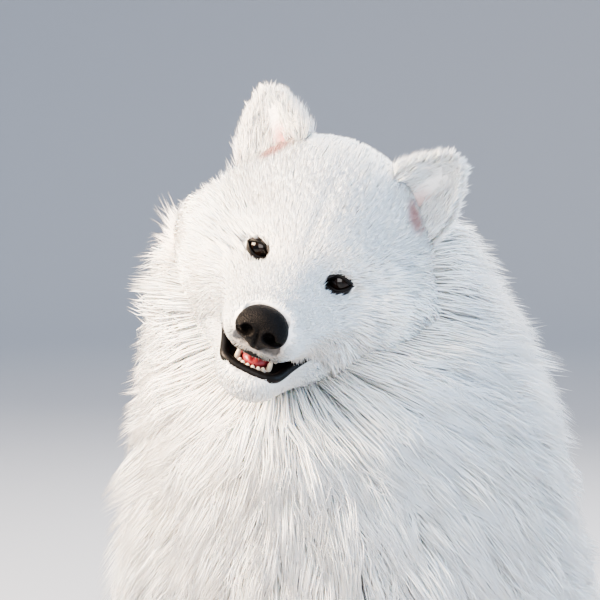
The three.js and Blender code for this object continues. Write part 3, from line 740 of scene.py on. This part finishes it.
width = 0.66 + 0.011 * length
for name, cut in in_pieces("coat_face", 10, count):
    add_tufts(name, paths[cut], normals[cut], width[cut], 0.5, (1.0, 0.9), roots[cut])

# The ears: dense short hair over the backs and rims, which thins out over the pink cups
for ear_shape, triangles, side in zip(ear_shapes, ear_triangles, ("right", "left")):
    _, base, rise, wide, back = ear_shape

    def ear_density(at, normal):
        local = to_head(at)
        weight = 1 + 0.6 * np.clip(normal @ to_camera, 0, 1)
        inner = (normal @ head_turn) @ back < -0.1
        across = np.abs((local - base) @ wide)
        up = (local - base) @ rise
        open_cup = np.exp(-((across / 16) ** 4)) * ramp(up, 6, 16) * ramp(up, 64, 50)
        weight[inner] *= 1 - 0.99 * open_cup[inner]
        weight[distance(local, head_forms, FACE_BLEND) < -1] = 0
        return weight

    count = int(5200 * dense)
    roots, normals = deal(triangles, count, ear_density)
    local, local_normal = to_head(roots), normals @ head_turn
    across = (local - base) @ wide
    inner = local_normal @ back < -0.1
    lie = rise + np.outer(np.where(inner, -0.26, 0.3) * np.sign(across), wide)
    lie = unit(lie + chance.normal(scale=0.14, size=lie.shape))
    low = 1 - ramp((local - base) @ rise, 5, 60)
    length = (12 + 9 * low - 1 * inner) * chance.uniform(0.7, 1.15, count)
    lean = np.where(inner, 0.34, 0.22)
    paths = np.stack(
        [local - local_normal * 0.5]
        + [local + lie * (length * t)[:, None]
           + local_normal * (length * lean * t**0.7 * (1.15 - t))[:, None] for t in (0.5, 1.0)], axis=1)
    paths = clump(paths, 7, 0.35, 0.03 * length)
    paths = from_head(paths.reshape(-1, 3)).reshape(paths.shape)
    add_tufts("coat_ear_" + side, paths, normals, 0.66 + 0.016 * length, 0.5, (1.0, 0.9), roots)


# The body: how deep the coat stands, which way it lies and how it feathers, from mane to paws
chin_point = from_head([[0, -20, -70]])[0]


def body_density(at, normal):
    weight = 1 + 1.9 * np.clip(normal @ to_camera + 0.15, 0, 1) * (1 + ramp(at[:, 2], 400, 560))
    weight *= 1 + 0.8 * ramp(at[:, 2], 150, 60)
    from_face = distance(to_head(at), head_forms, FACE_BLEND)
    weight *= 1 + 1.7 * np.exp(-((from_face / 70) ** 2)) * ramp(-at[:, 1], -60, 20)
    weight[(at[:, 2] < 2.5) | (from_face < -2)] = 0
    weight[distance(at, paw_forms, PAW_BLEND) < -3] = 0
    return weight


def paw_density(at, normal):
    weight = np.where(at[:, 2] < 2.5, 0.0, 1.0)
    weight[distance(at, body_forms, BODY_BLEND) < -2] = 0
    return weight


curve = np.array(tail_line, float)
low_end, high_end = (np.array(first_bounds) + [[-0.012], [0.012]]) * 1000 - shift
low_end[2] = 1.5
# name, number of tufts, steps, share of the full length, width at no length, widening
layers = (("coat_under", 55000, 2, 0.86, 0.75, 0.0062), ("coat_long", 22000, 3, 1.0, 0.8, 0.0068))
for layer, number, steps, reach, thin, thicken in layers:
    count = int(number * dense)
    roots, normals = deal(body_triangles, count, body_density)
    depth = np.clip(-distance(roots, outer_forms, BODY_BLEND), 3, 74)
    on_tail = distance(roots, share_of(tail_bones, SKIN_SHARE), 8.0) < 4
    nearest = np.argmin(np.linalg.norm(roots[:, None] - curve[None], axis=2), axis=1)
    tail_way = unit(np.gradient(curve, axis=0))[nearest]
    front = ramp(-normals[:, 1], -0.1, 0.5)
    lie = np.stack([np.zeros(count), 0.75 - 0.62 * front, -0.75 - 0.25 * front], axis=1)
    mane = ramp(roots[:, 2], 430, 640)
    lie = lie * (1 - 0.55 * mane)[:, None] + unit(roots - chin_point) * (0.80 * mane)[:, None]
    lie[on_tail] = tail_way[on_tail] + normals[on_tail] * 0.35 + np.array([-0.30, 0, -0.25])
    lie += chance.normal(scale=0.07, size=lie.shape)
    behind_leg = (roots[:, 1] < 60) & (roots[:, 2] > 60) & (roots[:, 2] < 330)
    feather = ramp(normals[:, 1], 0.1, 0.7) * behind_leg
    length = (10 + 2.0 * depth + 26 * feather) * reach * chance.uniform(0.7, 1.12, count)
    height = (0.98 * depth + 12 * feather) * reach * chance.uniform(0.66, 1.05, count)
    paths = grow_paths(roots, normals, unit(lie), length, height, body_forms, BODY_BLEND, steps)
    paths = clump(paths, 20, 0.68, 0.11 * length)
    width = thin + thicken * length
    paths = np.clip(paths, low_end, high_end)
    order = np.argsort(-roots[:, 2], kind="stable")
    for name, cut in in_pieces(layer, 6 * steps - 2, count):
        take = order[cut]
        add_tufts(name, paths[take], normals[take], width[take], 0.42, (1.0, 0.9, 0.6), roots[take])

# The paws: short hair that runs down over the toes
count = int(7500 * dense)
roots, normals = deal(paw_triangles, count, paw_density)
lie = np.tile([0, -0.75, -0.5], (count, 1)) + chance.normal(scale=0.06, size=(count, 3))
length = chance.uniform(8, 13, count)
paths = grow_paths(roots, normals, unit(lie), length, np.full(count, 2.6), paw_forms, PAW_BLEND, 2)
paths = np.clip(clump(paths, 6, 0.4, 0.02 * length), low_end, high_end)
add_tufts("coat_paws", paths, normals, 0.8 + 0.01 * length, 0.5, (1.0, 0.9), roots)

# Eyes: dark balls with a paler ring of iris, wet all over, and fine black rims along both lids
for s, side in ((-1, "right"), (1, "left")):
    shape = bmesh.new()
    bmesh.ops.create_uvsphere(shape, u_segments=64, v_segments=40, radius=EYE_RADIUS)
    ball = np.array([v.co[:] for v in shape.verts]) @ np.array(Matrix.Rotation(math.pi / 2, 3, "X"))
    faces = [[v.index for v in f.verts] for f in shape.faces]
    shape.free()
    middle = np.array([s * EYE_SPREAD, eye_y, 0])
    eye = add_object("eyeball_" + side, from_head(ball + middle), faces, eye_look)
    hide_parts("eye_" + side)
    gaze = np.array([s * 0.22, -0.97, 0.02])
    spot = place(from_head([middle + gaze / np.linalg.norm(gaze) * EYE_RADIUS]))[0]
    tint_near(eye_look, spot, 0.0052, 0.0062, (0.010, 0.005, 0.003))
    tint_near(eye_look, spot, 0.0023, 0.0030, (0.002, 0.0015, 0.0015))
    turns = np.linspace(0, 2 * math.pi, 72, endpoint=False)
    x = np.cos(turns) * LID_LENGTH / 2
    z = np.sign(np.sin(turns)) * (1 - np.abs(np.cos(turns)) ** 1.8) * LID_HEIGHT * np.where(
        np.sin(turns) > 0, 0.56, 0.44)
    flat = np.stack([x * math.cos(LID_SLANT) - s * z * math.sin(LID_SLANT),
                     np.zeros(72), z * math.cos(LID_SLANT) + s * x * math.sin(LID_SLANT)], axis=1)
    flat[:, 1] = -np.sqrt(np.maximum((EYE_RADIUS + 1.0) ** 2 - flat[:, 0] ** 2 - flat[:, 2] ** 2, 4))
    line = middle + flat
    ahead_of = unit(np.roll(line, -1, axis=0) - np.roll(line, 1, axis=0))
    out = unit(line - middle)
    sideways = np.cross(ahead_of, out)
    ring = np.concatenate([line + out * (1.15 * math.cos(a)) + sideways * (1.5 * math.sin(a))
                           for a in np.arange(6) * math.pi / 3])
    faces = [(k * 72 + i, k * 72 + (i + 1) % 72, (k + 1) % 6 * 72 + (i + 1) % 72, (k + 1) % 6 * 72 + i)
             for k in range(6) for i in range(72)]
    rim = add_object("lid_rim_" + side, from_head(ring), faces, lip_look)

# Nose leather: a soft pad with comma-shaped nostrils pressed into it and the groove beneath
nose = flesh("nose_pad", nose_forms, NOSE_BLEND, 0.6)
co = points_of(nose)
for s in (-1, 1):
    for x, z, rx, rz, deep in ((8.4, -29.5, 4.0, 3.7, 8), (13.2, -31.9, 4.6, 1.9, 5)):
        inside = ((co[:, 0] - s * x) / rx) ** 2 + ((co[:, 2] - z) / rz) ** 2
        co[:, 1] += deep * np.exp(-(inside**2)) * (co[:, 1] < -80)
co[:, 1] += 1.8 * np.exp(-((co[:, 0] / 1.1) ** 2)) * ramp(co[:, 2], -24, -32) * (co[:, 1] < -80)
move_points(nose, place(from_head(co)))
nose.data.materials.clear()
nose.data.materials.append(leather_look)
nose.data.shade_smooth()
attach(nose, "root")
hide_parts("nose")


# Mouth: black lips follow the edges of the opening and reach inwards, the lining is pink, and teeth stand
# in both jaws
def lip_edge(height_at, forms, reach):
    """The edge of the mouth from one corner round the front to the other, a little inside the skin."""
    line, steps = [], 24
    back = np.linspace(LIP_CORNER, reach, steps)
    for y in np.concatenate([back, back[-2::-1]]):
        s = 1 if len(line) < steps else -1
        z = height_at(y)
        x = np.arange(0, 60, 0.25)
        probe = np.stack([x, np.full_like(x, y), np.full_like(x, z)], axis=1)
        inside = distance(probe, forms, FACE_BLEND) < -0.5
        line.append((s * (x[inside].max() if inside.any() else 0), y, z))
    return np.array(line)


def wall(count, sides):
    """Faces of a closed tube of this many rings, one after the other, with flat ends."""
    faces = [(i * sides + k, i * sides + (k + 1) % sides, (i + 1) * sides + (k + 1) % sides,
              (i + 1) * sides + k) for i in range(count - 1) for k in range(sides)]
    return faces + [tuple(range(sides))[::-1], tuple(range((count - 1) * sides, count * sides))]


def tube(line, radius, sides=8):
    line = np.asarray(line, float)
    forward = unit(np.gradient(line, axis=0))
    up = unit(np.cross(np.cross(forward, [0, 0, 1.0]), forward))
    across = np.cross(forward, up)
    from_end = np.minimum(np.arange(len(line)), np.arange(len(line))[::-1])
    fat = radius * np.minimum(1, from_end * 0.05 + 0.2)
    turns = np.arange(sides) * 2 * math.pi / sides
    rings = [line[i] + fat[i] * (np.outer(np.cos(turns), up[i]) + np.outer(np.sin(turns), across[i]))
             for i in range(len(line))]
    return np.concatenate(rings), wall(len(line), sides)


def upper_edge(y):
    return -47.5 + (y + 15) * 0.0274


def lower_edge(y):
    return -46.9 + (y + 15) * 0.4244 if y > -60 else -66 + (y + 60) * 0.28


for name, edge, reach, radius in (
        ("upper_lip", upper_edge, LIP_FRONT, 2.2), ("lower_lip", lower_edge, JAW_FRONT, 3.6)):
    line = lip_edge(edge, head_forms, reach)
    for _ in range(3):
        line[1:-1] = (line[:-2] + 2 * line[1:-1] + line[2:]) / 4
    points, faces = tube(line, radius)
    lip = add_object(name, from_head(points), faces, lip_look)
    inner = line * [0.5, 1, 1] + np.outer(4 * ramp(-line[:, 1], 40, -reach), [0, 1, 0])
    half = np.array([0, 0, 0.8])
    band = np.stack([line + half, inner + half, inner - half, line - half], axis=1).reshape(-1, 3)
    inner_lip = add_object("inner_" + name, from_head(band), wall(len(line), 4), lip_look, smooth=False)
for name, x, y, z, rx, ry, rz in (
        ("palate_lining", 0, -43, -49.0, 16, 30, 6.5), ("gum_lining", 0, -42, -67, 15, 24.5, 8)):
    shape = bmesh.new()
    bmesh.ops.create_uvsphere(shape, u_segments=40, v_segments=24, radius=1)
    ball = np.array([v.co[:] for v in shape.verts]) * [rx, ry, rz] + [x, y, z]
    if name == "palate_lining":
        ball[:, 2] = np.maximum(ball[:, 2], -49.5 + 0.4)
    else:
        ball[:, 2] = np.minimum(ball[:, 2], -65)
    faces = [[v.index for v in f.verts] for f in shape.faces]
    shape.free()
    lining = add_object(name, from_head(ball), faces, mouth_look)
tongue_forms = [(0, -18, -58, 0, -44, -60, 12, 12), (0, -44, -60, 0, -56, -62.5, 12, 8.5)]
tongue = flesh("tongue_body", tongue_forms, 8.0, 0.8)
co = points_of(tongue)
co[:, 2] = -61 + (co[:, 2] + 61) * 0.6
co[:, 2] -= 1.4 * np.exp(-((co[:, 0] / 2.2) ** 2)) * (co[:, 2] > -61)
move_points(tongue, place(from_head(co)))
tongue.data.materials.clear()
tongue.data.materials.append(tongue_look)
tongue.data.shade_smooth()
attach(tongue, "root")
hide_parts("tongue")
tooth_shape = bmesh.new()
teeth = [(11.5 * math.sin(math.radians(a)), -55 - 10.5 * math.cos(math.radians(a)), -66, 1.9, 1.4, 3.3)
         for a in (-52, -31, -10, 10, 31, 52)]
teeth += [(s * 12.4, -57, -64, 2.1, 2.3, 6.6) for s in (-1, 1)]
teeth += [(s * (14.6 + 0.3 * k), -47 + 7 * k, -62.5 + 1.8 * k, 1.8, 3.2, 3.4)
          for s in (-1, 1) for k in range(3)]
teeth += [(s * 14, -60, -51.5, 2.1, 2.4, 5.2) for s in (-1, 1)]
for x, y, z, rx, ry, rz in teeth:
    size = Matrix.Translation((x, y, z)) @ Matrix.Diagonal((rx, ry, rz, 1))
    bmesh.ops.create_icosphere(tooth_shape, subdivisions=3, radius=1, matrix=size)
tooth_points = np.array([v.co[:] for v in tooth_shape.verts])
tooth_faces = [[v.index for v in f.verts] for f in tooth_shape.faces]
tooth_shape.free()
tooth_row = add_object("teeth", from_head(tooth_points), tooth_faces, tooth_look)
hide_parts("lower_teeth")

# Claws: one short curved horn at each toe's tip
claw_points, claw_faces = [], []
for a, tip, *_ in (bone for bone in paw_bones if bone[4] == TOE_COAT):
    ahead_of = unit((np.array(tip) - np.array(a))[None] * [1, 1, 0])[0]
    line = np.array(tip) + np.outer([9, 15, 19.5, 22.5], ahead_of) + np.outer([3, 2, -2, -9], [0, 0, 1])
    points, faces = tube(line, CLAW_RADIUS)
    thin = np.repeat([1, 0.85, 0.55, 0.12], 8)[:, None]
    middles = np.repeat(line, 8, axis=0)
    base = sum(len(p) for p in claw_points)
    claw_points.append(middles + unit(points - middles) * thin * CLAW_RADIUS)
    claw_faces += [tuple(base + i for i in f) for f in faces]
claws = add_object("claws", np.concatenate(claw_points), claw_faces, claw_look)

# Whiskers: long fine bristles in rows on the muzzle
bristle_points, bristle_faces = [], []
for s in (-1, 1):
    for row in range(4):
        for k in range(5):
            root = np.array([s * 60.0, -62 + 9 * k, -26 - 5.5 * row])
            for _ in range(5):
                out = outward(root[None], skull_forms, FACE_BLEND)[0]
                root = root - out * distance(root[None], skull_forms, FACE_BLEND)[0]
            way = out * 0.9 + np.array([0, 0.45, -0.12 * row]) + chance.normal(scale=0.08, size=3)
            way /= np.linalg.norm(way)
            reach = chance.uniform(30, 48)
            t = np.linspace(0, 1, 7)[:, None]
            line = root + way * reach * t + np.array([0, 8, -11]) * t**2
            points, faces = tube(line, WHISKER_RADIUS, 4)
            taper = np.repeat(np.linspace(1, 0.25, 7), 4)[:, None]
            middles = np.repeat(line, 4, axis=0)
            base = sum(len(p) for p in bristle_points)
            bristle_points.append(middles + unit(points - middles) * WHISKER_RADIUS * taper)
            bristle_faces += [tuple(base + i for i in f) for f in faces]
whiskers = add_object("whiskers", from_head(np.concatenate(bristle_points)), bristle_faces, whisker_look)
